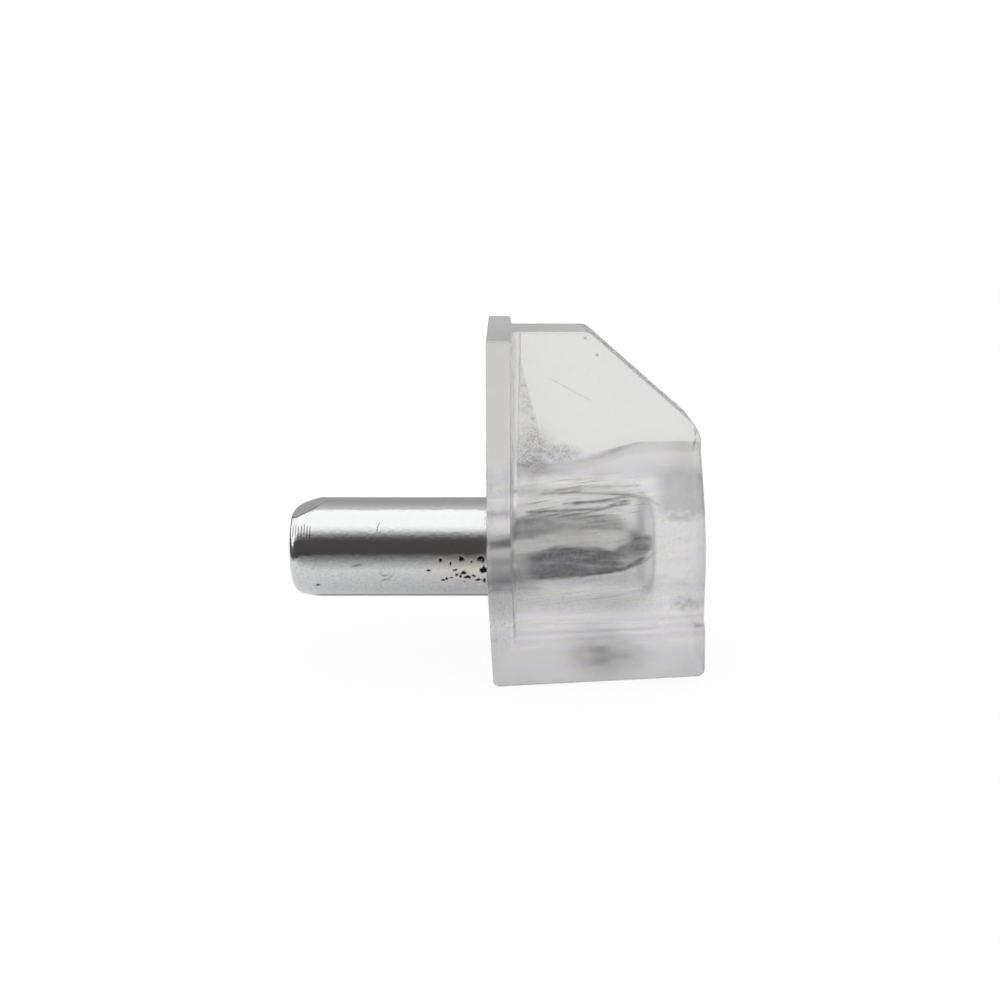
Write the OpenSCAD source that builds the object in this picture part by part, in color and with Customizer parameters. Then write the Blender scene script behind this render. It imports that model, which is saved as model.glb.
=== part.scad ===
// Shelf support pin: a plated steel pin moulded into a clear plastic bracket.
// X runs along the pin, away from the cabinet wall, Z is up and Y is the width.
// The origin is where the axis of the pin crosses the face that lies on the wall.
// The flat foot under the boss is the face that carries the shelf.

/* [Pin] */
// Diameter of the steel pin
pin_d = 5; // [4:0.1:6]
// Length of pin that stands out of the wall plate
pin_reach = 9.8; // [7:0.1:16]
// Length of pin held inside the bracket
pin_seat = 8.2; // [6:0.1:9]
// How far the pin steps in along that length
seat_step = 0.18; // [0.16:0.02:0.3]
// Depth at which the full diameter ends, behind the face on the wall
seat_start = 0.1; // [0.05:0.05:0.15]
// Length of the slight taper behind the tip
lead_l = 1.2; // [0.8:0.1:2.5]
// Slope of that taper
lead_angle = 10; // [5:1:20]
// Edge radius at the tip
tip_round = 0.7; // [0.3:0.1:1]
// Edge radius at the buried end
heel_round = 0.8; // [0.2:0.1:1.2]

/* [Wall plate] */
// Width of the plate and of the foot
plate_w = 11; // [10.4:0.1:16]
// Height of the plate above the axis of the pin
plate_rise = 11.05; // [9:0.05:15]
// Thickness of the plate
plate_t = 1.15; // [0.8:0.05:2]

/* [Boss and web] */
// Reach of boss and web from the wall
body_reach = 10.34; // [9.8:0.02:12]
// Plastic around the pin
boss_wall = 2.25; // [1.5:0.05:2.5]
// Lean of the shoulders between boss and web, from the vertical
shoulder_angle = 37; // [30:1:45]
// Thickness of the web
web_t = 3.7; // [2.4:0.1:4.5]
// Length of the level top edge, from the wall
brow_l = 4.85; // [3:0.05:7]
// Slope of the cut-off corner
slope_angle = 41; // [30:1:44]
// Radius at the upper end of the cut-off corner
brow_round = 0.6; // [0.2:0.1:1.5]
// Radius at the lower end of the cut-off corner
nose_round = 1.5; // [0.5:0.1:2]
// Fillet between web and shoulder
shoulder_fillet = 0.9; // [0.3:0.1:1.5]
// Fillet between web and wall plate
root_fillet = 0.45; // [0.2:0.05:0.7]

/* [Foot] */
// Distance from the axis of the pin down to the underside of the foot
foot_drop = 5.46; // [5.2:0.02:7]
// Thickness of the foot
foot_t = 2.4; // [1.8:0.1:2.6]
// Tilt of the foot against the pin
foot_tilt = 3.1; // [0:0.1:4]
// Fillet between the boss and the top of the foot
skirt_fillet = 1.1; // [0.5:0.1:1.5]
// Radius of the lower corner at the wall
heel_corner = 0.3; // [0.1:0.05:0.6]
// Radius of the lower corner at the free end
toe_corner = 0.35; // [0.1:0.05:0.6]

/* [Hidden] */
$fn = 96;

pin_r = pin_d / 2;
seat_r = pin_r - seat_step;
boss_r = pin_r + boss_wall;
half_w = plate_w / 2;
half_web = web_t / 2;

// Where the straight shoulder would meet the face of the web
shoulder_z = (boss_r - half_web * cos(shoulder_angle)) / sin(shoulder_angle);
// Directions along the shoulder and along the cut-off corner
shoulder_dir = [sin(shoulder_angle), -cos(shoulder_angle)];
slope_dir = [cos(slope_angle), -sin(slope_angle)];
// Height at which the cut-off corner meets the free end
nose_z = plate_rise - (body_reach - brow_l) * tan(slope_angle);
// Height at which the skirt under the boss meets the foot
skirt_z = -foot_drop + foot_t;
// Depth to which the block under the boss runs into the foot
root_z = -foot_drop + foot_t / 2;
// Length of the foot, whose end meets the reach of the boss at half its thickness
foot_l = body_reach * cos(foot_tilt) + root_z * sin(foot_tilt);
// Upper corner at the free end of the foot
ledge_end = [foot_l * cos(foot_tilt) - skirt_z * sin(foot_tilt),
             foot_l * sin(foot_tilt) + skirt_z * cos(foot_tilt)];
// Spare length of a block that is trimmed afterwards
spare = 2;

// The small corner piece between two edges and the arc that touches both.
// Taken away it rounds an outer corner, and added it fillets an inner one.
module corner_piece(corner, edge_a, edge_b, r) {
    half = acos(edge_a * edge_b) / 2;
    bisector = (edge_a + edge_b) / norm(edge_a + edge_b);
    centre = corner + bisector * r / sin(half);
    run = r / tan(half);
    difference() {
        polygon([corner, corner + edge_a * run, centre, corner + edge_b * run]);
        translate(centre) circle(r);
    }
}

// Half of the pin's outline: X is the radius and Y is the distance along the pin.
module pin_outline() {
    taper_r = pin_r - lead_l * tan(lead_angle);
    arc_y = -pin_reach + tip_round;
    arc_r = taper_r + tip_round * tan(lead_angle) - tip_round / cos(lead_angle);
    touch_y = arc_y - tip_round * sin(lead_angle);
    difference() {
        polygon([[0, -pin_reach], [taper_r, -pin_reach], [pin_r, -pin_reach + lead_l],
                 [pin_r, seat_start], [seat_r, seat_start], [seat_r, pin_seat], [0, pin_seat]]);
        difference() {
            translate([arc_r, -pin_reach - spare])
                square([pin_r, touch_y + pin_reach + spare]);
            translate([arc_r, arc_y]) circle(tip_round);
        }
        corner_piece([seat_r, pin_seat], [-1, 0], [0, -1], heel_round);
    }
}

module steel_pin() {
    color("silver") rotate([0, 90, 0]) rotate_extrude() pin_outline();
}

// Side view of the wall plate with the foot, X across and Z up.
module plate_and_foot_side() {
    difference() {
        union() {
            square([plate_t, plate_rise]);
            rotate(foot_tilt) translate([0, -foot_drop]) {
                square([plate_t, foot_drop]);
                square([foot_l, foot_t]);
            }
        }
        rotate(foot_tilt) {
            corner_piece([0, -foot_drop], [1, 0], [0, 1], heel_corner);
            corner_piece([foot_l, -foot_drop], [-1, 0], [0, 1], toe_corner);
        }
    }
}

// Side view of web and boss with the cut-off corner, X across and Z up.
module web_side() {
    inner_x = plate_t / 2;
    difference() {
        polygon([[inner_x, root_z], [ledge_end[0], root_z], ledge_end,
                 [body_reach, skirt_z + skirt_fillet], [body_reach, nose_z],
                 [brow_l, plate_rise], [inner_x, plate_rise]]);
        corner_piece([brow_l, plate_rise], [-1, 0], slope_dir, brow_round);
        corner_piece([body_reach, nose_z], -slope_dir, [0, -1], nose_round);
    }
}

// One half of the end view of web, shoulder, boss and skirt, Y across and Z up.
module half_end_view() {
    translate([0, root_z]) square([half_web, plate_rise - root_z]);
    intersection() {
        circle(boss_r);
        square([boss_r, boss_r]);
    }
    polygon([[0, 0], [boss_r * cos(shoulder_angle), boss_r * sin(shoulder_angle)],
             [half_web, shoulder_z], [0, shoulder_z]]);
    corner_piece([half_web, shoulder_z], [0, 1], shoulder_dir, shoulder_fillet);
    translate([0, root_z]) square([boss_r, -root_z]);
    intersection() {
        corner_piece([boss_r, skirt_z], [1, 0], [0, 1], skirt_fillet);
        translate([0, skirt_z]) square([half_w, skirt_fillet]);
    }
    translate([0, root_z]) square([half_w, skirt_z - root_z]);
}

module web_and_boss() {
    intersection() {
        rotate([90, 0, 90]) linear_extrude(body_reach) {
            half_end_view();
            mirror([1, 0]) half_end_view();
        }
        rotate([90, 0, 0]) linear_extrude(2 * plate_w, center = true) web_side();
    }
}

// Upright fillets where the web meets the wall plate.
module root_fillets() {
    for (side = [-1, 1])
        translate([0, 0, shoulder_z]) linear_extrude(plate_rise - shoulder_z)
            corner_piece([plate_t, side * half_web], [1, 0], [0, side], root_fillet);
}

module support_body() {
    color([0.86, 0.87, 0.86, 0.45]) difference() {
        union() {
            rotate([90, 0, 0]) linear_extrude(plate_w, center = true) plate_and_foot_side();
            web_and_boss();
            root_fillets();
        }
        steel_pin();
    }
}

support_body();
steel_pin();
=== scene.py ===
# %% [markdown]
# # Shelf support pin
#
# The object is a steel pin with a clear plastic bracket moulded around its end.
# The pin plugs into a drilled hole in a cabinet side, and the flat foot of the
# bracket carries a shelf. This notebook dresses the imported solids: it replaces
# both with finer surfaces worked out with numpy, gives them their finishes, and
# sets up the table, the light and the camera.
#
# All lengths are written in millimetres and multiplied by `mm` at the end.

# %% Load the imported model
import math

import bpy
import numpy as np
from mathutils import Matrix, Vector


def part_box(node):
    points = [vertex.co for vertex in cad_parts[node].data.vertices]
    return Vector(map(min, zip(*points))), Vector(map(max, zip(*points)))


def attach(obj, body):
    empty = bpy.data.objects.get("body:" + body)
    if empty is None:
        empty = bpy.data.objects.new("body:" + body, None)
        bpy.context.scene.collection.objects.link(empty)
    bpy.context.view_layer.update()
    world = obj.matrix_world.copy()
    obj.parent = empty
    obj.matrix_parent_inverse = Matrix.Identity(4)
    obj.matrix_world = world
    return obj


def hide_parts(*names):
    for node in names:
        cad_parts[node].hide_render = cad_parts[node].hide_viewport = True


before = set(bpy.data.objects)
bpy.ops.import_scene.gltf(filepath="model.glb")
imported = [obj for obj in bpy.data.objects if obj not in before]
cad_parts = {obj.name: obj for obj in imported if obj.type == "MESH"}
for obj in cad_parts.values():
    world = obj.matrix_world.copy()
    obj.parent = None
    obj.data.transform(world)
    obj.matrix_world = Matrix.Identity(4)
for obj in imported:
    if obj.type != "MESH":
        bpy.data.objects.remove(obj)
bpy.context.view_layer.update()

mm = 0.001

# %% [markdown]
# ## The driving sizes
#
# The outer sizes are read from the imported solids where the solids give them, so
# that the surfaces made here keep inside them. The sizes that shape a corner, a
# slope or a thickness are written out, with the same values as in the
# construction. The reach of the boss is a thousandth of a millimetre less, so
# that rounding never carries it out of the box.

# %% Sizes of the bracket and the pin
body_low, body_high = (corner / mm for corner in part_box("support_body"))
pin_low, pin_high = (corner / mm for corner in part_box("steel_pin"))

plate_half = body_high.y
plate_rise = body_high.z
plate_t = 1.15
pin_r = pin_high.z
pin_reach = -pin_low.x
pin_seat = pin_high.x

boss_wall = 2.25
boss_r = pin_r + boss_wall
web_half = 1.85
body_reach = 10.339
brow_l = 4.85
slope_angle = math.radians(41)
shoulder_angle = math.radians(37)
shoulder_fillet = 0.9
foot_drop = 5.46
foot_t = 2.4
foot_tilt = math.radians(3.1)
skirt_fillet = 1.1

print("pin radius", round(pin_r, 2), "reach", round(pin_reach, 2), "plate", round(plate_rise, 2))

# %% [markdown]
# ## Outlines and soft steps
#
# Both pieces start from outlines made of straight runs and arcs. Two small
# helpers give the points of each, so that an outline is a list of a few calls.
# Wear, dirt, moulding marks and painted light and shade are soft patches on
# those surfaces. They are built from smooth steps and from one kind of random
# hills with a fixed seed, so that the piece comes out the same each time.

# %% Arcs and lines as arrays
def arc(centre, radius, start, end, count):
    """Points on a circle: centre plus radius times (cosine, sine) of evenly spaced angles."""
    angle = np.radians(np.linspace(start, end, count))
    return np.column_stack([centre[0] + radius * np.cos(angle),
                            centre[1] + radius * np.sin(angle)])


def line(start, end, count):
    """Points on a straight run: start plus an evenly growing share of (end - start)."""
    share = np.linspace(0, 1, count)[:, None]
    return np.array(start) + share * (np.array(end) - np.array(start))


def joined(*runs):
    """One outline from several runs: points that repeat the one before are dropped."""
    points = np.vstack(runs)
    step = np.linalg.norm(np.diff(points, axis=0), axis=1)
    return points[np.concatenate([[True], step > 1e-6])]


def inset(radius, depth):
    """How far a rounded edge stands back: radius minus the root of radius squared
    less the square of what is left of it at that depth, and nothing below it."""
    left = np.clip(radius - depth, 0, radius)
    return radius - np.sqrt(radius ** 2 - left ** 2)

# %% Soft steps, bands, spots and hills
def rise(value, start, end):
    """0 before start and 1 after end, with the smooth step 3t^2 - 2t^3 between them."""
    t = np.clip((value - start) / (end - start), 0, 1)
    return t * t * (3 - 2 * t)


def band(value, low, high, soft):
    """1 between low and high and 0 outside, with edges that take twice soft to fall."""
    return rise(value, low - soft, low + soft) * (1 - rise(value, high - soft, high + soft))


def spot(u, v, centre, half, soft=0.5):
    """1 in an ellipse and 0 outside: the distance from the centre in half sizes,
    turned over by a smooth step from 1 - soft to 1 + soft."""
    away = np.hypot((u - centre[0]) / half[0], (v - centre[1]) / half[1])
    return 1 - rise(away, 1 - soft, 1 + soft)


def hills(u, v, seed):
    """Random hills from 0 to 1: random heights at whole numbers, joined by smooth steps."""
    heights = np.random.default_rng(seed).random((256, 256))
    i, j = np.floor(u).astype(int), np.floor(v).astype(int)
    f, g = rise(u - i, 0, 1), rise(v - j, 0, 1)
    i, j = i % 256, j % 256
    near = heights[i, j] * (1 - f) + heights[(i + 1) % 256, j] * f
    far = heights[i, (j + 1) % 256] * (1 - f) + heights[(i + 1) % 256, (j + 1) % 256] * f
    return near * (1 - g) + far * g


def stroke(u, v, points, width, soft):
    """1 on a thin line drawn through a few (u, v) points, fading over soft beyond its width,
    and only between the first and the last point."""
    us, vs = np.array(points).T
    away = np.abs(v - np.interp(u, us, vs))
    return (1 - rise(away, width, width + soft)) * band(u, us[0], us[-1], 0.15)

# %% [markdown]
# ## From grids to meshes
#
# Every surface is a grid of points: rows run along the piece and columns run
# round it. The faces of such a grid follow one rule, so they are worked out for
# the whole grid at once. The two open ends are closed with one flat face each.
# Normals are weighted by the area of the faces they belong to, which keeps flat
# faces optically flat right up to their rounded edges. That matters in clear
# plastic, where a bent normal bends everything seen through it.
#
# A mark is stored as a number at each point of the mesh, which the material
# reads back. So a pit can be a real dent and be dark in the same place.

# %% Build a closed mesh from a grid
def tube_mesh(name, grid, marks):
    """A closed piece from grid[row, column, xyz] whose columns run round the piece.
    Quad (r, c) joins columns c and c + 1 of rows r and r + 1, and a flat face closes each
    end. Each of the marks is an array like the grid, one number a point."""
    rows, columns = grid.shape[:2]
    index = np.arange(rows * columns).reshape(rows, columns)
    after = np.roll(index, -1, axis=1)
    quads = np.stack([index[:-1], after[:-1], after[1:], index[1:]], axis=-1).reshape(-1, 4)
    faces = quads.tolist() + [index[0, ::-1].tolist(), index[-1].tolist()]
    mesh = bpy.data.meshes.new(name)
    mesh.from_pydata((grid.reshape(-1, 3) * mm).tolist(), [], faces)
    for mark, values in marks.items():
        layer = mesh.attributes.new(mark, "FLOAT", "POINT")
        layer.data.foreach_set("value", np.ascontiguousarray(values, dtype=np.float32).ravel())
    mesh.update()
    mesh.shade_smooth()
    piece = bpy.data.objects.new(name, mesh)
    bpy.context.scene.collection.objects.link(piece)
    weighted = piece.modifiers.new("area_normals", "WEIGHTED_NORMAL")
    weighted.mode = "FACE_AREA"
    weighted.weight = 90
    print(name, "has", len(mesh.vertices), "points and", len(mesh.polygons), "faces")
    return piece

# %% [markdown]
# ## The clear bracket
#
# On the real object the bracket is one moulding. Seen from its free end it is a
# bell: a narrow web on top, sloping shoulders, a boss around the pin, and a
# concave skirt that runs out onto the flat foot. Seen from above, each level of
# it is a T: the wall plate is the bar and the web or boss is the stem. The ledge
# between skirt and foot is raised a little, as its round takes height away.
#
# It could be built from boxes and cylinders joined by booleans, but their seams
# show as hard lines in clear plastic. Here the T outline is carried up the bell
# instead. Each row of the grid is one T, and the bell gives its width.

# %% The bell: half width of the stem at each level
edge_r = 0.07
heel_r = 0.3
toe_r = 0.35
ledge_r = 0.6
ledge_turn = 60
ledge_lift = 0.06
lean = math.tan(foot_tilt)
foot_floor = -foot_drop / math.cos(foot_tilt)
ledge = -(foot_drop - foot_t) / math.cos(foot_tilt)
ledge_centre = ledge - ledge_r * math.sin(math.radians(ledge_turn)) + ledge_lift
skirt_top = -foot_drop + foot_t + skirt_fillet
shoulder_z = (boss_r - web_half * math.cos(shoulder_angle)) / math.sin(shoulder_angle)


def bell_outline():
    """(half width, height) up the stem: the side of the foot, a rounded ledge, the skirt,
    the side and arc of the boss, the straight shoulder, a fillet, and the side of the web.
    The skirt is (1 - t)^2 start + 2 t (1 - t) bend + t^2 end, with its bend where the slope
    of the ledge would meet the upright boss, so it is smooth at both ends."""
    bottom = foot_floor + toe_r * (1 - np.cos(np.linspace(0, math.pi / 2, 9)))
    foot = joined(np.column_stack([np.full(9, plate_half), bottom]),
                  line((plate_half, foot_floor + toe_r), (plate_half, ledge_centre), 28))
    ledge_edge = arc((plate_half - ledge_r, ledge_centre), ledge_r, 0, ledge_turn, 18)
    start = ledge_edge[-1]
    bend = np.array([boss_r, start[1] + (start[0] - boss_r) / math.tan(math.radians(ledge_turn))])
    share = np.linspace(0, 1, 30)[1:, None]
    skirt = ((1 - share) ** 2 * start + 2 * share * (1 - share) * bend
             + share ** 2 * np.array([boss_r, skirt_top]))
    angle = math.degrees(shoulder_angle)
    boss = joined(line((boss_r, skirt_top), (boss_r, 0), 30), arc((0, 0), boss_r, 0, angle, 44))
    half_turn = (math.pi - shoulder_angle) / 2
    run = shoulder_fillet / math.tan(half_turn)
    fillet_start = np.array([web_half + run * math.sin(shoulder_angle),
                             shoulder_z - run * math.cos(shoulder_angle)])
    fillet = arc((web_half + shoulder_fillet, shoulder_z + run), shoulder_fillet,
                 180 + angle, 180, 14)
    web = line((web_half, shoulder_z + run), (web_half, plate_rise - edge_r), 88)
    top = arc((web_half - edge_r, plate_rise - edge_r), edge_r, 0, 90, 7)
    return joined(foot, ledge_edge, skirt, boss, line(boss[-1], fillet_start, 36),
                  fillet, web, top)


bell = bell_outline()
print("rows up the bracket:", len(bell))

# %% [markdown]
# The free end of the stem is not upright all the way. It leans with the foot at
# the bottom, stands upright along the boss, and is cut off by a slope on top,
# with an arc at each end of the slope.

# %% The side view: reach of the stem at each height
nose_r = 1.5
brow_r = 0.6
nose_z = plate_rise - (body_reach - brow_l) * math.tan(slope_angle)
foot_l = body_reach * math.cos(foot_tilt) - (foot_drop - foot_t / 2) * math.sin(foot_tilt)
ledge_end_z = foot_l * math.sin(foot_tilt) - (foot_drop - foot_t) * math.cos(foot_tilt)
ledge_draw = 0.03
box_margin = 0.002
print("the slope meets the free end at", round(nose_z, 2), "mm")


def reach_at(z):
    """Reach at height z: the smallest of the upright end and the slope, with the two arcs
    of the nose and the brow in place of their corners. From the top of the skirt down to
    the ledge it draws back by ledge_draw, and from there a straight line leans out to the
    toe."""
    slope = brow_l + (plate_rise - z) / math.tan(slope_angle)
    reach = np.minimum(body_reach, slope)
    nose_run = nose_r * math.tan((math.pi / 2 - slope_angle) / 2)
    above = np.clip(z - (nose_z - nose_run), 0, nose_r)
    on_nose = (above > 0) & (above < nose_r * math.cos(slope_angle))
    nose = body_reach - nose_r + np.sqrt(nose_r ** 2 - above ** 2)
    reach = np.where(on_nose, nose, reach)
    brow_run = brow_r * math.tan(slope_angle / 2)
    up = np.clip(z - (plate_rise - brow_r), 0, brow_r)
    brow = brow_l - brow_run + np.sqrt(brow_r ** 2 - up ** 2)
    reach = np.where(up > brow_r * math.cos(slope_angle), brow, reach)
    share = np.clip((skirt_top - z) / (skirt_top - ledge_end_z), 0, 1)
    ledge_reach = body_reach - ledge_draw
    bent = body_reach + share * (ledge_reach - body_reach)
    down = np.clip((ledge_end_z - z) / (ledge_end_z - foot_floor), 0, 1)
    leaning = ledge_reach + down * (body_high.x - box_margin - ledge_reach)
    return np.where(z < ledge_end_z, leaning, np.where(z < skirt_top, bent, reach))

# %% [markdown]
# Now the T itself. Its corners are arcs, and where the stem is as wide as the
# plate, in the foot, the inner corner opens out into a straight side. The rows
# of the foot are tilted with it, and the skirt takes the tilt out again.
#
# The shoulder is lower beside the plate, probably because the plastic sank there
# as it cooled. The sides of the boss have a ripple of a few hundredths of a
# millimetre, which bends the image of the pin a little. The fillet between web
# and plate grows towards the top.

# %% The T at every level, as one grid
sag_depth = 1.1
sag_low, sag_high, sag_soft = 2.7, 6.5, 1.1
side_columns = 96
root_low, root_growth = 0.2, 0.25
face_lean = 0.02
ripple_height = 0.03


def bracket_grid(outline):
    """grid[row, column, xyz]: each row is a T whose stem has the outline's half width, taken
    a little higher up towards the wall, where the shoulder sags. Heights are the outline's
    plus the distance from the wall times the tilt of that row. The inner face of the plate
    leans by face_lean to either side, which keeps its columns apart in the foot."""
    height = outline[:, 1:]
    tilt = lean * np.clip((skirt_top - height) / (skirt_top - ledge), 0, 1)
    above_floor = height - foot_floor
    below_top = plate_rise - height
    side = plate_half - inset(edge_r, above_floor) - inset(edge_r, below_top)
    share = np.linspace(0, 1, side_columns)[None, :]
    sag = sag_depth * (1 - rise(share, 0.2, 0.75)) * band(height, sag_low, sag_high, sag_soft)
    sagged = np.interp(height + sag, outline[:, 1], outline[:, 0])
    long_stem = np.minimum(sagged - inset(edge_r, above_floor), side)
    near_stem, stem = long_stem[:, :1], long_stem[:, -1:]
    wall = -np.minimum(height, 0) * lean + inset(heel_r, above_floor) + inset(edge_r, below_top)
    inner = -np.minimum(height, 0) * lean + plate_t - inset(edge_r, below_top)
    free_end = reach_at(height + tilt * body_reach) - inset(toe_r, above_floor)

    root_r = root_low + root_growth * np.clip(
        (height - skirt_top) / (plate_rise - skirt_top), 0, 1)
    step = side - near_stem
    corner = np.minimum(edge_r, 0.4 * step)
    root = np.minimum(root_r, 0.4 * step)
    quarter = np.linspace(0, math.pi / 2, 7)[None, :]
    out, back = np.sin(quarter), np.cos(quarter)

    def run(x0, y0, x1, y1, count):
        share = np.linspace(0, 1, count)[None, :]
        return np.stack([x0 + share * (x1 - x0), y0 + share * (y1 - y0)], axis=-1)

    ripple_depth = ripple_height * band(height, skirt_top - 0.2, shoulder_z - 0.6, 0.5)
    long_side = run(inner + face_lean + root_r, near_stem, free_end - edge_r, stem, side_columns)
    long_side[..., 1] = long_stem
    ripple = (hills(long_side[..., 0] / 1.6, height / 0.5, 11)
              + 0.5 * hills(long_side[..., 0] / 0.7, height / 0.26, 12) - 0.75)
    long_side[..., 1] += ripple_depth * ripple * band(share, 0.05, 0.95, 0.05)

    blocks = [
        run(wall, 0 * side, wall, side - edge_r, 12),
        np.stack([wall + edge_r * (1 - back), side - edge_r * (1 - out)], axis=-1)[:, 1:],
        run(wall + edge_r, side, inner - edge_r - face_lean, side, 7)[:, 1:],
        np.stack([inner - edge_r - face_lean + edge_r * out, side - corner * (1 - back)],
                 axis=-1)[:, 1:],
        run(inner - face_lean, side - corner, inner + face_lean, near_stem + root, 9)[:, 1:],
        np.stack([inner + face_lean + root_r * (1 - back), near_stem + root * (1 - out)],
                 axis=-1)[:, 1:],
        long_side[:, 1:],
        np.stack([free_end - edge_r * (1 - out), stem - edge_r * (1 - back)], axis=-1)[:, 1:],
        run(free_end, stem - edge_r, free_end, 0 * side, 12)[:, 1:],
    ]
    half_t = np.concatenate(blocks, axis=1)
    mirrored = half_t[:, -2:0:-1] * np.array([1, -1])
    loop = np.concatenate([half_t, mirrored], axis=1)
    z = height + loop[..., 0] * tilt
    return np.concatenate([loop, z[..., None]], axis=-1)[:, ::-1]


bracket_points = bracket_grid(bell)
print("columns round the bracket:", bracket_points.shape[1])

# %% [markdown]
# ### Marks on the bracket
#
# A used moulding is not clean, and clear plastic shows what is on it and in it.
# Some marks here are painted light and shade. Four marks say how much of each
# lies at a point. The first is how grey it is: painted shade on the shoulder, the
# plate and the foot, a darker patch on the foot, a painted dark line along the
# edges and along the lower edge of the pin seen through the plastic, thin dark
# lines across that image of the pin, and specks, a scratch and dirt. `dust` is
# how thickly it is speckled, most of all in the corner between plate and web.
# `streaked` is where fine fibres show over the pin, the lighter ones a painted
# highlight, and `frost` is how rough the surface is.
#
# The first three lie only on the side that faces the viewer, so that the clear
# web does not show them twice, and frost is weaker on the rear. Places are (x, z)
# in millimetres, and a number in front of a mark is its strength. A hazy band
# in the frost softens the lower edge of the pin, which is a choice for the look.
# A texture painted by hand could hold the same, but numbers at the points need
# no file.

# %% Where marks may lie
x, y, z = np.moveaxis(bracket_points, -1, 0)
front = 1 - rise(y, -0.4, 0.2)
upright = rise(plate_rise - z, 0, 0.03) * rise(z - foot_floor - x * lean, 0, 0.03)
plate_side = 1 - rise(y, -5.3, -5.1)
ragged = 0.6 * hills(x / 0.5, z / 0.4, 21) + 0.6 * hills(x / 0.16, z / 0.12, 26) - 0.6
print("share of points on the front:", round(float(front.mean()), 2))

# %% Painted shade on the shoulder, the plate and the foot
# Painted shade: the top of the boss near the free end, and the plate and the foot seen edge-on,
# are greyed where less light comes out of the plastic.
shoulder_line = np.interp(x, [1.2, 3.0, 5.5, 6.8], [4.4, 4.5, 5.2, 5.6])
shoulder_mask_and_roughness = 1 - rise(z + 0.15 * ragged, shoulder_line - 0.15, shoulder_line + 0.1)
shoulder_mask_and_roughness = shoulder_mask_and_roughness * rise(z + 0.5 * ragged, 2.3, 2.8) * rise(x, 3.0, 4.4)
deep = (1 - rise(z, 3.9, 4.9)) * rise(x, 7.6, 8.6)
shoulder = 0.54 * shoulder_mask_and_roughness * deep
painted_plate_shade = np.interp(z, [-4.0, -2.0, 2.5, 2.9, 3.7, 4.1], [0.17, 0.22, 0.2, 0.05, 0.05, 0.2])
painted_plate_and_foot_shade = np.maximum(painted_plate_shade * (1 - rise(x, 1.1, 1.3)), 0.18 * (1 - rise(z, -3.9, -3.0)))
painted_plate_and_foot_shade = np.maximum(painted_plate_and_foot_shade * plate_side, 0.03 * band(z, -2.0, 0.5, 0.3))

# %% A darker patch on the foot and skirt, specks and a scratch
dark_patch = np.maximum(spot(x, z, (5.6, -3.8), (1.5, 0.85), 0.9),
                    0.75 * spot(x, z, (5.2, -3.1), (1.1, 0.6), 0.9))
dark_patch = 0.62 * np.maximum(dark_patch, 0.3 * spot(x, z, (5.9, -1.5), (0.9, 0.5), 0.9))
dark_patch = dark_patch * (0.7 + 0.6 * hills(x / 0.6, z / 0.35, 22))
rough = 0.7 * spot(x, z, (9.5, -1.5), (0.7, 0.35)) * hills(x / 0.12, z / 0.1, 23)
cloud = 0.03 * hills(x / 1.3, z / 0.5, 24) * (1 - rise(z, 4.2, 5.6)) * rise(x, 1.2, 1.4)
specks = spot(x, z, (4.67, 10.75), (0.07, 0.07)) + spot(x, z, (5.25, 9.95), (0.07, 0.07))
scratch = 0.2 * stroke(x, z, [(3.0, 8.83), (4.95, 7.77)], 0.02, 0.05)

# %% Dark lines over the pin seen through the plastic
# The first line is a painted dark outline along the lower edge of the pin seen through the
# plastic; the others are thin dark lines across the upper part of that image.
pin_image_lines = sum(strength * stroke(x, z, points, 0.03, 0.05) for strength, points in [
    (0.70, [(2.9, -0.32), (4.6, -0.15), (6.5, 0.15), (7.4, 0.52), (7.9, 0.95)]),
    (0.80, [(1.9, 2.55), (2.9, 2.72), (5.27, 2.78), (6.9, 3.25)]),
    (0.70, [(3.6, 2.98), (5.27, 3.07), (6.78, 3.42)]),
    (0.50, [(2.7, 3.50), (5.4, 3.63)]),
    (0.60, [(5.4, 3.65), (7.3, 3.85)]),
    (0.35, [(6.75, 3.50), (7.6, 3.30), (8.15, 3.05)])])
pin_image_lines = pin_image_lines * (0.4 + 0.9 * hills(x / 0.25, z / 0.2, 27))

# %% Dust, thickest in a wedge beside the plate
wedge_edge = np.interp(z, [5.6, 9.9], [2.65, 1.55])
wedge = (1 - rise(x, wedge_edge - 0.06, wedge_edge + 0.06)) * band(z, 4.6, 9.9, 0.3)
wedge = wedge * rise(x, 1.45, 1.65) * (0.55 + 0.45 * rise(x, wedge_edge - 0.7, wedge_edge))
patch = np.maximum(spot(x, z, (3.2, 5.2), (1.1, 0.4), 0.6),
                   0.7 * spot(x, z, (2.3, 5.0), (0.9, 1.2), 0.7))
low_patch = np.maximum(0.9 * spot(x, z, (1.2, -0.9), (0.6, 1.6), 0.7),
                       0.9 * spot(x, z, (0.6, -2.8), (0.7, 2.2), 0.6))
lens_grit = 0.35 * spot(x, z, (4.6, 0.9), (3.2, 1.6), 0.4)
skirt_clean = 1 - 0.9 * band(z, -3.0, -2.0, 0.2)
dust = np.clip(0.7 * wedge + 1.3 * patch + 0.6 * low_patch + lens_grit, 0, 1)
grain = 0.24 * (1 - rise(z, 4.6, 5.4)) * (0.4 + 1.2 * hills(x / 0.9, z / 0.4, 25))
print("share of points with dust:", round(float((dust > 0.1).mean()), 3))

# %% All the painted shade and the dirt together
painted_shade_and_dirt = shoulder + painted_plate_and_foot_shade + dark_patch + rough + cloud + 0.7 * specks + scratch + pin_image_lines
painted_shade_and_dirt = painted_shade_and_dirt + wedge * (0.16 + 0.3 * rise(hills(x / 0.25, z / 0.08, 29), 0.6, 0.85))
painted_shade_and_dirt = painted_shade_and_dirt + 0.42 * patch * (0.3 + 1.4 * hills(x / 0.2, z / 0.12, 28))
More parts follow.
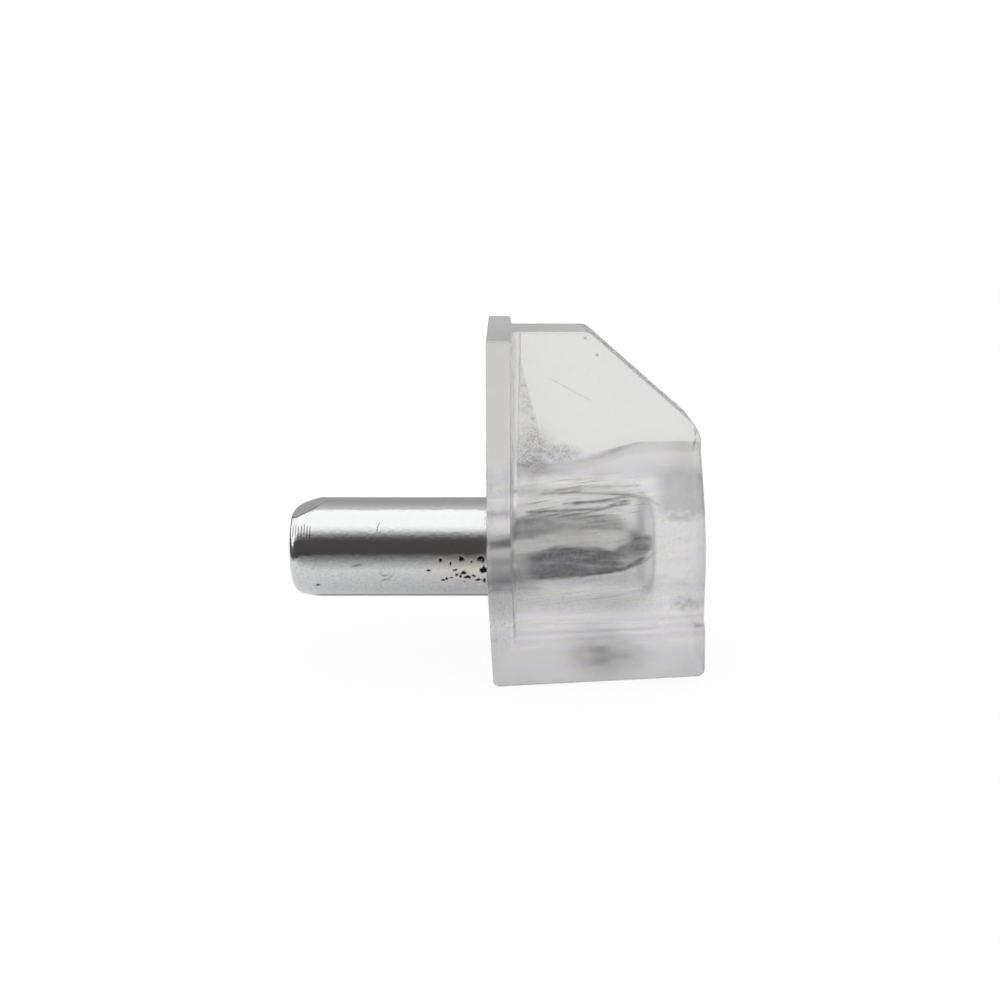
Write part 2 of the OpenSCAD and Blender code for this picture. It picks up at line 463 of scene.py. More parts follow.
# A painted dark line runs along the outline edges, where a rounded edge would bend the light away.
rim = np.minimum(np.minimum(reach_at(z) - x, plate_rise - z), z - foot_floor - x * lean)
painted_shade_and_dirt = (painted_shade_and_dirt + 0.22 * (1 - rise(rim, 0.04, 0.12))) * upright

# %% Frost, a hazy band before the pin's lower edge, and fibres
to_slope = (plate_rise - z) + (brow_l - x) * math.tan(slope_angle)
trimmed = np.maximum(rise(z, plate_rise - 0.03, plate_rise), 1 - rise(to_slope, 0.03, 0.1))
frost = 1 - rise(z, 4.9, 5.6)
frost = np.maximum(frost, 0.4 * band(x, 1.25, 2.0, 0.1))
haze = band(z, -2.1, -1.0, 0.35) * rise(x, 0.0, 0.4) * (1 - rise(x, 7.0, 8.8))
frost = frost * (1 - 0.6 * spot(x, z, (4.6, 1.6), (3.6, 2.4), 0.3)) + 2.4 * haze
frost = frost * (0.3 + 0.7 * front) + 1.6 * trimmed * rise(z, 5.6, 6.4)
streaked = rise(x, 1.6, 2.4) * (1 - rise(x, 6.6, 8.3)) * band(z, -1.4, 4.3, 0.35)
streaked = streaked * np.interp(z, [-1.4, 0.2, 2.2, 2.6, 3.4, 4.0],
                                [0.3, 0.15, 0.35, 0.9, 0.9, 0.5])

# %% Build the bracket
bracket_marks = {"painted_shade_and_dirt": np.clip(painted_shade_and_dirt, 0, 1) * front,
                "dust": np.maximum(dust, grain * skirt_clean) * front,
                "streaked": streaked * front, "frost": frost}
bracket = tube_mesh("clear_bracket", bracket_points, bracket_marks)
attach(bracket, "root")
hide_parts("support_body")

# %% [markdown]
# ## The steel pin
#
# A plain pin is turned on a lathe: a bar is faced at its tip, given a short
# taper, and parted off. So the pin is its side outline carried round the axis.
# The buried end keeps the full diameter, because the plastic hides the small
# step that the construction has there. The tip also has a flat worn onto its
# upper side, which is made by pressing the points beyond a plane back onto it.

# %% The pin as a turned surface
lead_l = 1.2
lead_angle = 10
tip_r = 0.7
heel_end_r = 1.2
cap_r = 0.4


def pin_outline():
    """(distance along the axis, radius) from the tip to the buried end, down to the flat
    caps of radius cap_r. Rows lie closer at the nick and at the pits."""
    taper_r = pin_r - lead_l * math.tan(math.radians(lead_angle))
    centre_r = (taper_r + tip_r * math.tan(math.radians(lead_angle))
                - tip_r / math.cos(math.radians(lead_angle)))
    tip = arc((-pin_reach + tip_r, centre_r), tip_r, 180, 90 + lead_angle, 40)
    taper = line(tip[-1], (-pin_reach + lead_l, pin_r), 46)
    free = joined(*(line((start, pin_r), (end, pin_r), count) for start, end, count in [
        (-pin_reach + lead_l, -5.6, 34), (-5.6, -5.1, 16), (-5.1, -3.2, 22), (-3.2, 0, 76)]))
    buried = line((0, pin_r), (pin_seat - heel_end_r, pin_r), 70)
    heel = arc((pin_seat - heel_end_r, pin_r - heel_end_r), heel_end_r, 90, 0, 12)
    return joined(line((-pin_reach, cap_r), tip[0], 6), tip, taper, free, buried, heel,
                  line(heel[-1], (pin_seat, cap_r), 5))


def turned_grid(outline, columns):
    """grid[row, column, xyz]: the outline's radius carried round the X axis."""
    angle = np.linspace(0, 2 * math.pi, columns, endpoint=False)[None, :]
    along, radius = outline[:, :1], outline[:, 1:]
    return np.stack([along + 0 * angle, radius * np.cos(angle), radius * np.sin(angle)], axis=-1)


def pressed_flat(points, normal, offset):
    """Points with normal . p greater than offset are moved back along the normal onto
    the plane where normal . p equals offset."""
    normal = np.array(normal)
    beyond = np.clip(points @ normal - offset, 0, None) / (normal @ normal)
    return points - beyond[..., None] * normal


pin_points = turned_grid(pin_outline(), 270)[:, ::-1]
print("rows along the pin:", len(pin_points))

# %% [markdown]
# ### Wear and painted reflection on the pin
#
# The plating has blistered near the plate and left pits, each a real dent with
# a dark floor, and the metal between them is warmer where the plating is thin.
# The tip has fine grooves from turning, with dark ticks painted on them where
# they would reflect the dark front, and a painted dark line along its worn flat.
# A painted dark line along the underside stands for the shadow under the pin as
# seen in it, and a nick and some scuffs come from use. The buried length has long
# dark streaks, which are painted reflection: the dark band of the room, a
# lens-shaped patch and the pin's lower edge as they look through the plastic.
# They are placed for the view from the front, and they and the line on the
# underside fade out before the buried end, whose face is clean.
#
# Marks are placed by their distance along the pin and by their angle about its
# axis: 0 degrees faces the viewer and 90 degrees faces up. Each mark is 1 where
# it is strongest.

# %% Pits, each (distance, degrees, half length, half angle)
pits = [(-2.29, 0, 0.08, 2.0), (-1.81, -4, 0.05, 2.4), (-2.89, -13, 0.10, 1.5),
        (-1.61, -12, 0.12, 1.4), (-1.27, 1.5, 0.17, 3.2), (-0.78, -2, 0.07, 1.0),
        (-0.34, 2, 0.16, 2.6), (-0.24, -1, 0.10, 1.6), (-0.18, -12, 0.18, 4.6),
        (-1.18, -16, 0.16, 2.2), (-1.33, -21, 0.09, 2.6), (-0.98, -22, 0.22, 2.3),
        (-0.69, -20, 0.12, 1.5), (-0.45, -25.5, 0.15, 1.8), (-0.15, -27, 0.08, 3.2),
        (-2.17, -26, 0.11, 1.4), (-2.02, -24, 0.07, 2.2), (-1.77, -23, 0.10, 1.3),
        (-1.52, -18.5, 0.09, 1.6), (-1.14, -28, 0.07, 1.4), (-8.40, -34, 0.11, 1.7)]
x = pin_points[..., 0]
degrees = np.degrees(np.arctan2(pin_points[..., 2], -pin_points[..., 1]))
ragged = hills(x / 0.09, degrees / 2.2, 31) - 0.5
pitted = np.zeros_like(x)
for at_x, at_angle, half_x, half_angle in pits:
    away = np.hypot((x - at_x) / half_x, (degrees - at_angle) / half_angle)
    pitted = np.maximum(pitted, 1 - rise(away + 0.7 * ragged, 0.75, 1.15))
print("pits:", len(pits))

# %% Nick, thin plating, painted ticks and underside line, scuffs and matt metal
nick = stroke(degrees, x, [(33, -5.42), (38, -5.38), (43, -5.3)], 0.008, 0.035)
thin_plating = (spot(x, degrees, (-1.1, -9), (1.6, 16), 0.6)
                * (0.4 + 0.6 * hills(x / 0.5, degrees / 8, 32)))

tick_spacing = 0.145
# Painted reflection: dark ticks on the turning grooves at the edge of the bright band, where they
# would reflect the dark front.
groove_tick_reflections = rise(np.cos(2 * math.pi * x / tick_spacing), 0.1, 0.8) * band(x, -9.62, -8.55, 0.05)
groove_tick_reflections = groove_tick_reflections * band(degrees + 4 * (hills(x / tick_spacing, 0 * x, 35) - 0.5), 27, 41, 1.5)
# Painted reflection: a dark line along the underside, for the shadow under the pin seen in it.
underside_shadow_reflection = band(degrees, -100, -56, 2) * rise(x, -8.9, -8.3) * (1 - rise(x, 7.0, 7.9))
scuffs = (stroke(x, degrees, [(-5.3, -17), (-5.1, -20), (-4.9, -19)], 0.5, 1.0)
          + stroke(x, degrees, [(-5.2, -27), (-4.9, -24), (-4.7, -20)], 0.5, 1.0)
          + stroke(x, degrees, [(-6.6, -7), (-6.2, -6)], 0.8, 1.5))
worn_matt = band(degrees, -70, 4, 4) * (0.5 + 0.5 * hills(x / 0.8, degrees / 12, 36))

# %% Painted reflection on the buried length: a band, a lens-shaped patch, and thin lines
# Painted reflection: the dark band where the pin would reflect the dark front, the lens-shaped
# patch and the pin's lower edge (rim), as they look through the plastic. The gleam is a painted
# highlight, a light band kept between them.
long_hills = (0.6 * hills(x / 1.3, degrees / 3.0, 33)
              + 0.4 * hills(x / 0.5, degrees / 1.2, 34))
middle = np.interp(x, [0.4, 2.2, 4.5, 6.4], [24, 32, 35, 35])
width = np.interp(x, [0.4, 2.2, 4.5, 6.4], [4, 9, 8, 6])
upper = band(degrees, middle - width, middle + width, 3) * (1 - rise(x, 6.2, 7.0))
upper = upper * np.interp(x, [1.1, 1.6, 2.6, 4.0], [1.2, 0.72, 0.72, 0.55])
lens_top = np.interp(x, [1.2, 2.6, 3.4, 5.2, 6.2, 7.1, 7.9], [6, 13, 18, 16, 12, 22, 28])
lens_foot = np.interp(x, [2.4, 4.2, 5.3, 6.6, 7.4, 7.9], [-19, -13, -11, -7, 0, 12])
lens = band(degrees, lens_foot, lens_top, 2.0) * rise(x, 1.4, 3.2)
lens = lens * (1 - 0.5 * rise(x, 6.0, 6.9))
left = band(degrees, -38, 9, 6) * (1 - rise(x, 2.0, 3.2)) * np.interp(x, [0, 2], [0.72, 0.45])
rim = stroke(x, degrees, [(2.5, -18), (4.2, -12), (5.3, -10), (6.6, -6), (7.6, 4)], 0.8, 1.5)
lines = (stroke(x, degrees, [(1.9, 43), (4.5, 46), (5.8, 49), (7.0, 58)], 0.7, 1.5)
         + stroke(x, degrees, [(4.2, 55), (5.8, 60), (7.0, 62)], 0.6, 1.5)
         + 0.7 * stroke(x, degrees, [(2.6, 72), (4.4, 76), (6.2, 74), (7.6, 70)], 1.0, 3.0))
bulb = (0.5 * spot(x, degrees, (7.1, 25), (0.25, 4), 0.8)
        + 0.35 * spot(x, degrees, (7.2, 20), (0.7, 14), 0.8))
gleam = stroke(x, degrees, [(1.2, 13), (3.3, 20), (5.5, 21), (6.1, 15)], 3.0, 3.5)
painted_reflection_streaks = upper + lens * 0.95 + left + rim + 0.7 * lines + bulb
painted_reflection_streaks = painted_reflection_streaks * (1 - 0.85 * gleam)
painted_reflection_streaks = np.clip(painted_reflection_streaks * (0.65 + 0.7 * long_hills) + 0.12 * (long_hills - 0.45), 0, 1)

# %% Every mark on the pin, wear and painted reflection
pin_marks = {"pitted": pitted, "thin_plating": thin_plating,
        "matt": worn_matt * (x < 0) * rise(x, -9.7, -9.5),
        "painted_reflection_streaks": painted_reflection_streaks * rise(x, 0.05, 0.25) * (1 - rise(x, 7.85, 8.1)),
        "grime_and_painted_reflection": np.clip(0.6 * nick + 0.75 * groove_tick_reflections + 0.8 * underside_shadow_reflection + 0.5 * scuffs, 0, 1)}
dent_depth = 0.012
outward = pin_points * np.array([0, 1, 1]) / pin_r
pin_points = pin_points - (dent_depth * pin_marks["pitted"])[..., None] * outward

# %% The flat worn onto the tip, and a painted dark line along its edge
flat_normal, flat_offset = (-0.437, -0.032, 1.0), 6.06
above_flat = pin_points @ np.array(flat_normal) - flat_offset
# Painted reflection: a dark line along the front edge of the flat, where that edge would reflect
# the dark front.
painted_flat_edge_line = band(above_flat, -0.03, 0.02, 0.02) * rise(-pin_points[..., 1], 0.2, 0.6)
painted_flat_edge_line = painted_flat_edge_line * (1 - rise(pin_points[..., 0], -8.55, -8.3))
pin_marks["grime_and_painted_reflection"] = np.maximum(pin_marks["grime_and_painted_reflection"], 0.8 * painted_flat_edge_line)
pin_points = pressed_flat(pin_points, flat_normal, flat_offset)

# %% Build the pin
pin = tube_mesh("plated_pin", pin_points, pin_marks)
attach(pin, "root")
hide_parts("steel_pin")

# %% [markdown]
# ## Making materials
#
# A material is a small graph. One function adds a node with its settings and
# its links, so that each finish below reads as a list of what feeds what.
# Colours are written as the hex values one would pick on a screen, and turned
# to the linear values that light adds up in.
#
# A Mix node has several sockets of each name, so they are given by number: 0 is
# the share of the second colour, 6 and 7 are the two colours, and output 2 is
# their mixture. The sockets of a Math node are counted from 0 too.

# %% Helpers for materials
def linear(hex_colour):
    """sRGB hex to linear: each channel by the sRGB curve, which is a straight line near black."""
    channels = np.array([int(hex_colour[i:i + 2], 16) / 255 for i in (1, 3, 5)])
    low = channels / 12.92
    high = ((channels + 0.055) / 1.055) ** 2.4
    return (*np.where(channels <= 0.04045, low, high).tolist(), 1.0)


def add(tree, kind, inputs=None, **settings):
    """Adds a node of that kind, sets its properties, and links or sets each named input."""
    node = tree.nodes.new(kind)
    for name, value in settings.items():
        setattr(node, name, value)
    for name, value in (inputs or {}).items():
        if isinstance(value, bpy.types.NodeSocket):
            tree.links.new(value, node.inputs[name])
        else:
            node.inputs[name].default_value = value
    return node


def new_material(name):
    """An empty node material and its output node."""
    material = bpy.data.materials.new(name)
    material.use_nodes = True
    material.node_tree.nodes.clear()
    return material, add(material.node_tree, "ShaderNodeOutputMaterial")

# %% [markdown]
# ### Clear polycarbonate, injection moulded
#
# The bracket is a clear, tough plastic such as polycarbonate, with an IOR of
# 1.58. Four things keep it from looking like glass. It swallows a little light
# along its depth, so the thick foot and the plate seen edge-on are greyer than
# the thin web, and painted shade greys them further. It is slightly hazy, so a
# part of the light scatters at its surface like on a pale paint: that is the
# share that is not transmission. Its faces are a little rough and blur what lies
# far behind them. And it flowed round the pin, which left long fibres and a
# faint change of tint between cool and warm; over the pin, lighter fibres are
# a painted highlight.
# The grain of such a face is usually finer than a tenth of a millimetre. It is
# drawn 0.13 mm wide so that it can be seen.

# %% The bracket's material: marks, grain and dust
grain_width = 0.13
speck_width = 0.08
grain_depth = 0.01
material, output = new_material("clear_polycarbonate_moulded")
tree = material.node_tree
place = add(tree, "ShaderNodeTexCoord").outputs["Object"]
mark = {name: add(tree, "ShaderNodeAttribute", attribute_name=name).outputs["Fac"]
        for name in ("painted_shade_and_dirt", "dust", "streaked", "frost")}
grain = add(tree, "ShaderNodeTexNoise",
            {"Vector": place, "Scale": 1 / (grain_width * mm), "Detail": 2.0, "Roughness": 0.6})
grain_bump = add(tree, "ShaderNodeBump",
                 {"Height": grain.outputs["Fac"], "Strength": 0.25,
                  "Distance": grain_depth * mm})
speckle = add(tree, "ShaderNodeTexNoise",
              {"Vector": place, "Scale": 1 / (speck_width * mm), "Detail": 2.0, "Roughness": 0.6})
dots = add(tree, "ShaderNodeMapRange", {"Value": speckle.outputs["Fac"], "From Min": 0.5,
                                        "From Max": 0.62, "To Min": 0.1, "To Max": 0.9})
dust = add(tree, "ShaderNodeMath", {0: mark["dust"], 1: dots.outputs[0]},
           operation="MULTIPLY")

# %% Fibres, the light ones a painted highlight, and tint along the flow
fibre_length, fibre_width, flow_angle = 2.0, 0.1, -7
flow = add(tree, "ShaderNodeMapping",
           {"Vector": place, "Rotation": (0, math.radians(flow_angle), 0),
            "Scale": (fibre_length * mm, fibre_length * mm, fibre_width * mm)},
           vector_type="TEXTURE")
fibres = add(tree, "ShaderNodeTexNoise", {"Vector": flow.outputs[0], "Scale": 1.0, "Detail": 3.0,
                                          "Roughness": 0.55})
dark_fibres = add(tree, "ShaderNodeMapRange", {"Value": fibres.outputs["Fac"], "From Min": 0.53,
                                               "From Max": 0.63, "To Max": 0.85})
dark_fibres = add(tree, "ShaderNodeMath", {0: dark_fibres.outputs[0],
                                           1: mark["streaked"]}, operation="MULTIPLY")
# Painted highlight: light fibres over the image of the pin.
painted_highlight_fibres = add(tree, "ShaderNodeMapRange", {"Value": fibres.outputs["Fac"], "From Min": 0.5,
                                                "From Max": 0.38})
painted_highlight_fibres = add(tree, "ShaderNodeMath", {0: painted_highlight_fibres.outputs[0],
                                            1: mark["streaked"]}, operation="MULTIPLY")
tint = add(tree, "ShaderNodeTexNoise", {"Vector": flow.outputs[0], "Scale": 0.6, "Detail": 1.0})
tint = add(tree, "ShaderNodeMapRange", {"Value": tint.outputs["Fac"], "From Min": 0.35,
                                        "From Max": 0.65})
tinted = add(tree, "ShaderNodeMix", {0: tint.outputs[0], 6: linear("#F3F1FA"),
                                     7: linear("#F9FAF3")}, data_type="RGBA").outputs[2]
tinted = add(tree, "ShaderNodeMix", {0: mark["frost"], 6: linear("#F2F2EF"), 7: tinted},
             data_type="RGBA").outputs[2]

# %% The colour from clean to dusty, and the plastic itself
polycarbonate_ior = 1.58
clear_share = 0.86
clean = add(tree, "ShaderNodeMix", {0: painted_highlight_fibres.outputs[0], 6: tinted, 7: linear("#FFFFFF")},
            data_type="RGBA").outputs[2]
clean = add(tree, "ShaderNodeMix", {0: dark_fibres.outputs[0], 6: clean, 7: linear("#4E4C4A")},
            data_type="RGBA").outputs[2]
shoulder_mask_and_roughness = add(tree, "ShaderNodeMath", {0: mark["frost"], 1: 0.15, 2: 0.12},
              operation="MULTIPLY_ADD")
shaded = add(tree, "ShaderNodeMix", {0: mark["painted_shade_and_dirt"], 6: clean, 7: linear("#4C4A4E")},
             data_type="RGBA").outputs[2]
dusty = add(tree, "ShaderNodeMix", {0: dust.outputs[0], 6: shaded, 7: linear("#7F7D7A")},
            data_type="RGBA").outputs[2]
plastic = add(tree, "ShaderNodeBsdfPrincipled",
              {"Base Color": dusty, "Roughness": shoulder_mask_and_roughness.outputs[0], "IOR": polycarbonate_ior,
               "Transmission Weight": clear_share, "Normal": grain_bump.outputs["Normal"]})
depth_grey = add(tree, "ShaderNodeVolumeAbsorption",
                 {"Color": linear("#9A8F9C"), "Density": 21.0})
tree.links.new(plastic.outputs["BSDF"], output.inputs["Surface"])
tree.links.new(depth_grey.outputs["Volume"], output.inputs["Volume"])
bracket.data.materials.append(material)
print(material.name, "has", len(tree.nodes), "nodes")

# %% [markdown]
# ### Nickel-plated steel, turned
#
# The pin is a turned steel bar with a thin bright plating. Turning leaves fine
# grooves round it, which show as ticks where a dark reflection meets a bright
# one, and they are deeper near the tip. Real ones are a few hundredths of a
# millimetre apart. They are drawn about 0.15 mm apart so that they can be seen.
# The buried length is painted paler, which brightens it as seen through the plastic, and its
# streaks are painted dark reflection with a fine speckle in it.

# %% The pin's material: marks, grooves and mottle
groove_spacing, deepest_groove = 0.15, 0.006
mottle_width, mottle_depth = 0.3, 0.015
material, output = new_material("nickel_plated_steel_turned")
tree = material.node_tree
place = add(tree, "ShaderNodeTexCoord").outputs["Object"]
along = add(tree, "ShaderNodeSeparateXYZ", {"Vector": place}).outputs["X"]
mark = {name: add(tree, "ShaderNodeAttribute", attribute_name=name).outputs["Fac"]
        for name in ("pitted", "thin_plating", "matt", "painted_reflection_streaks", "grime_and_painted_reflection")}
grooves = add(tree, "ShaderNodeTexNoise", {"W": along, "Scale": 1 / (groove_spacing * mm),
                                           "Detail": 2.0}, noise_dimensions="1D")
groove_depth = add(tree, "ShaderNodeMapRange", {"Value": along, "From Min": -8.7 * mm,
                                                "From Max": -8.2 * mm, "To Min": 1.0,
                                                "To Max": 0.5})
groove_bump = add(tree, "ShaderNodeBump",
                  {"Height": grooves.outputs[0], "Strength": groove_depth.outputs[0],
                   "Distance": deepest_groove * mm})
mottle = add(tree, "ShaderNodeTexNoise",
             {"Vector": place, "Scale": 1 / (mottle_width * mm), "Detail": 3.0,
              "Roughness": 0.65})
mottle_bump = add(tree, "ShaderNodeBump",
                  {"Height": mottle.outputs["Fac"], "Strength": 0.6, "Distance": mottle_depth * mm,
                   "Normal": groove_bump.outputs["Normal"]})

# %% The free length: bright, gritty and warm where the plating is thin
grit_width = 0.13
bright = add(tree, "ShaderNodeMix", {0: mottle.outputs["Fac"], 6: linear("#D2D3D4"),
                                     7: linear("#DADADA")}, data_type="RGBA").outputs[2]
grit_noise = add(tree, "ShaderNodeTexNoise",
                 {"Vector": place, "Scale": 1 / (grit_width * mm), "Detail": 2.0,
                  "Roughness": 0.6})
fine_speckle = add(tree, "ShaderNodeMapRange", {"Value": grit_noise.outputs["Fac"],
                                             "From Min": 0.42, "From Max": 0.66})
grit = add(tree, "ShaderNodeMath", {0: fine_speckle.outputs[0], 1: mark["matt"]},
           operation="MULTIPLY")
bright = add(tree, "ShaderNodeMix", {0: grit.outputs[0], 6: bright, 7: linear("#C2C4C6")},
             data_type="RGBA").outputs[2]
warm = add(tree, "ShaderNodeMix", {0: mark["thin_plating"], 6: bright, 7: linear("#DAD2CC")},
           data_type="RGBA").outputs[2]

# %% The buried length: painted paler, with painted dark reflection in streaks
buried = add(tree, "ShaderNodeMapRange", {"Value": along, "From Min": 0.0, "From Max": 0.1 * mm})
# Painted light: the buried metal is a paler copy of the plated steel, so that it looks brighter
# through the plastic.
painted_paler_buried = add(tree, "ShaderNodeMix", {0: buried.outputs[0], 6: warm, 7: linear("#FBFBFA")},
             data_type="RGBA").outputs[2]
# Painted reflection: a dark colour with a fine speckle, laid on where the streaks lie.
painted_dark_reflection = add(tree, "ShaderNodeMix", {0: fine_speckle.outputs[0], 6: linear("#3F3C44"),
                                   7: linear("#75727A")}, data_type="RGBA").outputs[2]
with_painted_reflection = add(tree, "ShaderNodeMix", {0: mark["painted_reflection_streaks"], 6: painted_paler_buried, 7: painted_dark_reflection},
              data_type="RGBA").outputs[2]

# %% Grime and painted reflection, pits, and the metal itself
deep = add(tree, "ShaderNodeMapRange", {"Value": along, "From Min": 1.1 * mm,
                                        "From Max": 1.6 * mm})
# Painted reflection: this mark holds the dark ticks, the underside line and the line by the flat,
# as well as the nick and the scuffs.
with_grime_and_reflection = add(tree, "ShaderNodeMix", {0: mark["grime_and_painted_reflection"], 6: with_painted_reflection, 7: linear("#35363A")},
            data_type="RGBA").outputs[2]
pitted = add(tree, "ShaderNodeMix", {0: mark["pitted"], 6: with_grime_and_reflection, 7: linear("#1A1D2A")},
             data_type="RGBA").outputs[2]
dull = add(tree, "ShaderNodeMath", {0: mark["pitted"], 1: deep.outputs[0]},
           operation="MAXIMUM")
dull = add(tree, "ShaderNodeMapRange", {"Value": dull.outputs[0], "To Min": 0.1, "To Max": 0.4})
metal = add(tree, "ShaderNodeBsdfPrincipled",
            {"Base Color": pitted, "Metallic": 1.0, "Roughness": dull.outputs[0],
             "Normal": mottle_bump.outputs["Normal"]})
tree.links.new(metal.outputs["BSDF"], output.inputs["Surface"])
pin.data.materials.append(material)
print(material.name, "has", len(tree.nodes), "nodes")

# %% [markdown]
# ## The studio
#
# The part lies on a small white table. The room is white behind it, bright
# above it, and dark around the viewer, which is what draws the dark band along
# the pin. A real room with real walls would do, but then the background, the
# reflections and what is seen through the plastic could not be set apart.
#
# Seen directly or through the plastic, the table is almost all an even glow, and
# the rest of it keeps the soft shadow of the part. In a mirror it is white near
# the part and darkens towards the viewer and to the sides.

# %% The table
table_radius = 400
table_columns = 96
table_gap = 0.02
table_level = body_low.z - table_gap


def disc_grid(radius, rings, columns):
    """grid[ring, column, xyz]: rings that grow evenly to the radius, all at one level."""
    angle = np.linspace(0, 2 * math.pi, columns, endpoint=False)[None, :]
    reach = np.linspace(radius / rings, radius, rings)[:, None]
    return np.stack([reach * np.cos(angle), reach * np.sin(angle),
                     table_level + 0 * reach * angle], axis=-1)


table_grid = disc_grid(table_radius, 12, table_columns)
ring = np.arange(table_grid.shape[0] * table_columns).reshape(-1, table_columns)
ring_after = np.roll(ring, -1, axis=1)
table_faces = np.stack([ring[:-1], ring[1:], ring_after[1:], ring_after[:-1]], axis=-1)
table_mesh = bpy.data.meshes.new("white_table")
table_mesh.from_pydata((table_grid.reshape(-1, 3) * mm).tolist(), [],
                       table_faces.reshape(-1, 4).tolist() + [ring[0].tolist()])
table = bpy.data.objects.new("white_table", table_mesh)
bpy.context.scene.collection.objects.link(table)
print("table at", round(table_level, 2), "mm")

# %% The table's laminate
lit_reach = 8.4
lit_from, lit_to = 24, 30
camera_share, mirror_share, glow_strength = 0.92, 0.25, 1.02
material, output = new_material("white_table_laminate")
tree = material.node_tree
rays = add(tree, "ShaderNodeLightPath")
through = rays.outputs["Is Transmission Ray"]
seen = add(tree, "ShaderNodeMath", {0: rays.outputs["Is Camera Ray"], 1: camera_share,
                                    2: through}, operation="MULTIPLY_ADD")
mirrored = add(tree, "ShaderNodeMath", {0: rays.outputs["Is Glossy Ray"], 1: through},
               operation="SUBTRACT", use_clamp=True)
place = add(tree, "ShaderNodeSeparateXYZ",
            {"Vector": add(tree, "ShaderNodeTexCoord").outputs["Object"]})

# %% How far the table is lit, as a mirror shows it
ahead = add(tree, "ShaderNodeMath", {0: place.outputs["Y"], 1: -1.0}, operation="MULTIPLY")
ahead = add(tree, "ShaderNodeMath", {0: ahead.outputs[0], 1: lit_reach * mm},
            operation="MAXIMUM")
lit_share = add(tree, "ShaderNodeMath", {0: lit_reach * mm, 1: ahead.outputs[0]},
                operation="DIVIDE")
aside = add(tree, "ShaderNodeMath", {0: place.outputs["X"]}, operation="ABSOLUTE")
lit_aside = add(tree, "ShaderNodeMapRange", {"Value": aside.outputs[0], "From Min": lit_from * mm,
                                             "From Max": lit_to * mm, "To Min": 1.0,
                                             "To Max": 0.0})
lit = add(tree, "ShaderNodeMath", {0: lit_share.outputs[0], 1: lit_aside.outputs[0]},
          operation="MINIMUM")
unlit = add(tree, "ShaderNodeMath", {0: 1.0, 1: lit.outputs[0]}, operation="SUBTRACT")
front_dark = add(tree, "ShaderNodeMath", {0: unlit.outputs[0], 1: mirrored.outputs[0]},
                 operation="MULTIPLY")

# %% The table's surface, part laminate and part glow
top = add(tree, "ShaderNodeMix", {0: front_dark.outputs[0], 6: linear("#F4F4F4"),
                                  7: linear("#202020")}, data_type="RGBA").outputs[2]
glowing = add(tree, "ShaderNodeMix", {0: front_dark.outputs[0], 6: linear("#FFFFFF"),
                                      7: linear("#202020")}, data_type="RGBA").outputs[2]
laminate = add(tree, "ShaderNodeBsdfPrincipled", {"Base Color": top, "Roughness": 0.6})
glow = add(tree, "ShaderNodeEmission", {"Color": glowing, "Strength": glow_strength})
share = add(tree, "ShaderNodeMath", {0: mirrored.outputs[0], 1: mirror_share,
                                     2: seen.outputs[0]}, operation="MULTIPLY_ADD")
surface = add(tree, "ShaderNodeMixShader", {0: share.outputs[0], 1: laminate.outputs["BSDF"],
                                            2: glow.outputs["Emission"]})
tree.links.new(surface.outputs["Shader"], output.inputs["Surface"])
table.data.materials.append(material)
print(material.name, "has", len(tree.nodes), "nodes")

# %% [markdown]
# The room is a world whose brightness depends on the angle about the pin's
# axis, and it closes in on both sides, so that the tip of the pin reflects the
# dark front too. What lights the part is an even white of strength 1, at which
# a colour renders as it is written.
#
# What is seen through the plastic is a second room, white with a darker front
# (0.7) and a brighter ceiling (1.25). No real room is two rooms at once. This is
# a choice for the look, which gives the plastic its greyer sides.

# %% The room
room = bpy.data.worlds.new("white_studio")
bpy.context.scene.world = room
room.use_nodes = True
tree = room.node_tree
tree.nodes.clear()
output = add(tree, "ShaderNodeOutputWorld")
rays = add(tree, "ShaderNodeLightPath")
part = add(tree, "ShaderNodeSeparateXYZ",
           {"Vector": add(tree, "ShaderNodeTexCoord").outputs["Generated"]})
sideways = add(tree, "ShaderNodeMath", {0: part.outputs["X"]}, operation="ABSOLUTE")
side_wall = add(tree, "ShaderNodeMapRange", {"Value": sideways.outputs[0], "From Min": 0.6,
                                             "From Max": 0.8})
front = add(tree, "ShaderNodeMath", {0: 0.0, 1: part.outputs["Y"]}, operation="SUBTRACT")
behind = add(tree, "ShaderNodeMapRange", {"Value": part.outputs["Y"], "From Min": -0.1,
                                          "From Max": 0.1})
side_wall = add(tree, "ShaderNodeMath", {0: side_wall.outputs[0], 1: behind.outputs[0]},
                operation="MULTIPLY")
angle = add(tree, "ShaderNodeMath", {0: part.outputs["Z"], 1: front.outputs[0]},
            operation="ARCTAN2")
share = add(tree, "ShaderNodeMapRange", {"Value": angle.outputs[0], "From Min": -math.pi,
                                         "From Max": math.pi})

# %% Colour ramps by angle
def set_stops(ramp, stops):
    """Gives a colour ramp its (degrees, colour) stops, with -180 at its start and 180 at its
    end. 0 is level towards the viewer, 90 is overhead and 180 is level behind the part."""
    elements = ramp.color_ramp.elements
    while len(elements) < len(stops):
        elements.new(0.5)
    for element, (degrees, colour) in zip(elements, stops):
        element.position = (degrees + 180) / 360
        element.color = colour


def grey(value):
    """A grey of that linear value."""
    return (value, value, value, 1)


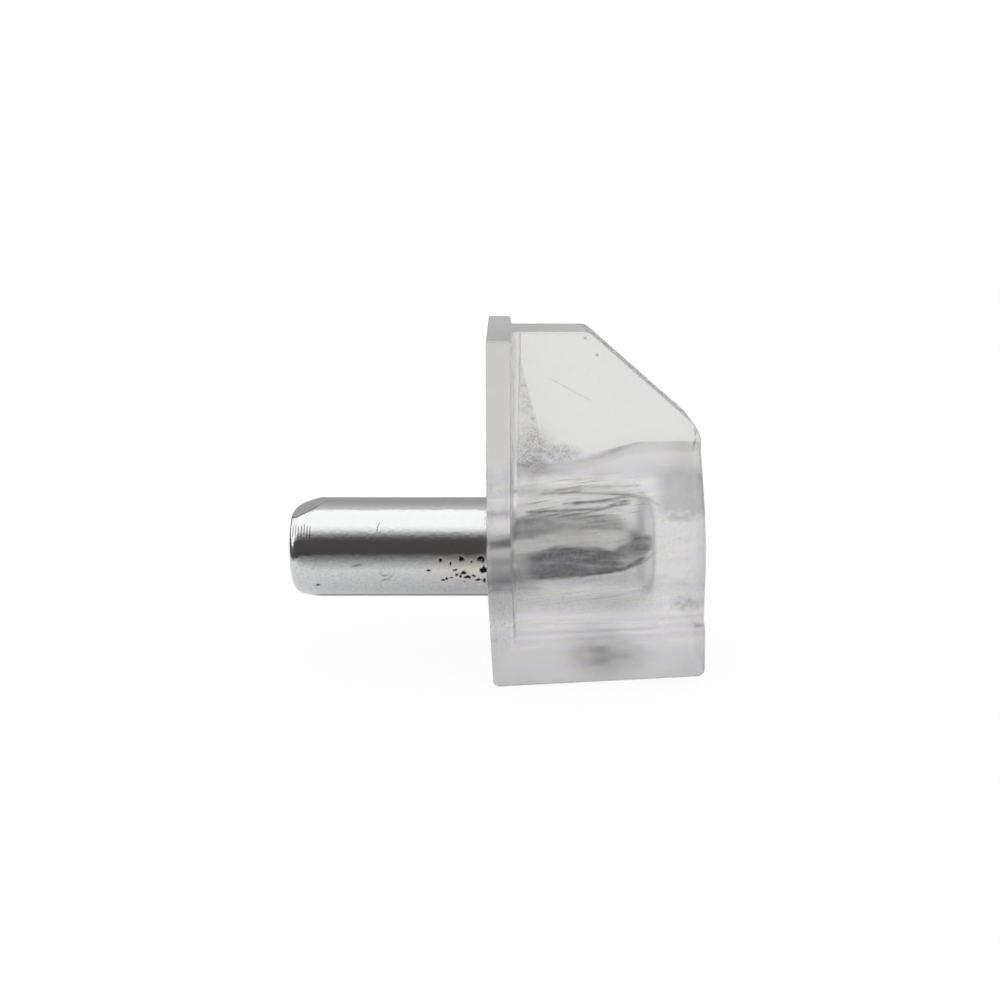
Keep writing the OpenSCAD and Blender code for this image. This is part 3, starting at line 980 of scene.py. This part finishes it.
# %% The room in reflections and through the plastic
brightest = 1.5
dark_front = (0.056, 0.050, 0.049, 1)
around = add(tree, "ShaderNodeValToRGB", {"Fac": share.outputs[0]})
set_stops(around, [
    (-180, grey(0.3)), (-8, grey(0.3)), (-4, dark_front), (29, dark_front), (35, grey(0.09)),
    (41, grey(0.19)), (48, grey(0.45)), (55, grey(0.76)), (62, grey(0.9)), (107, grey(0.93)),
    (111, grey(0.5)), (127, grey(0.37)), (145, grey(0.29)), (180, grey(0.28))])
mirrored = add(tree, "ShaderNodeMix", {0: side_wall.outputs[0], 6: around.outputs[0],
                                       7: grey(0.9)}, data_type="RGBA").outputs[2]
through = add(tree, "ShaderNodeValToRGB", {"Fac": share.outputs[0]})
set_stops(through, [
    (-180, grey(1.0)), (-40, grey(1.0)), (-20, grey(0.7)), (45, grey(0.7)),
    (65, grey(1.25)), (115, grey(1.25)), (130, grey(1.0)), (180, grey(1.0))])
mirror_room = add(tree, "ShaderNodeBackground", {"Color": mirrored, "Strength": brightest})
through_room = add(tree, "ShaderNodeBackground", {"Color": through.outputs[0], "Strength": 1.0})
plain_room = add(tree, "ShaderNodeBackground", {"Color": linear("#FFFFFF"), "Strength": 1.0})
bent = add(tree, "ShaderNodeMixShader", {0: rays.outputs["Is Transmission Ray"],
                                         1: mirror_room.outputs[0], 2: through_room.outputs[0]})
mixed = add(tree, "ShaderNodeMixShader", {0: rays.outputs["Is Glossy Ray"],
                                          1: plain_room.outputs[0], 2: bent.outputs[0]})
tree.links.new(mixed.outputs[0], output.inputs["Surface"])
print(room.name, "has", len(tree.nodes), "nodes")

# %% [markdown]
# ## The camera
#
# The view is from the front, slightly above, and close, so that the top of the
# plate and the web just show.

# %% The camera, with its turn, dip and roll in radians
camera_data = bpy.data.cameras.new("camera")
camera_data.sensor_width = 36
camera_data.lens = 50.4
camera_data.clip_start = 1 * mm
camera_data.clip_end = 10
camera = bpy.data.objects.new("camera", camera_data)
bpy.context.scene.collection.objects.link(camera)
camera.location = (0.967 * mm, -68.325 * mm, 18.707 * mm)
turn, dip, roll = -0.0054, 0.2341, -0.002
ahead = Vector((math.sin(turn) * math.cos(dip), math.cos(turn) * math.cos(dip), -math.sin(dip)))
camera.rotation_euler = ahead.to_track_quat("-Z", "Y").to_euler()
camera.rotation_euler.rotate_axis("Z", roll)
bpy.context.scene.camera = camera
bpy.context.scene.view_settings.view_transform = "Standard"
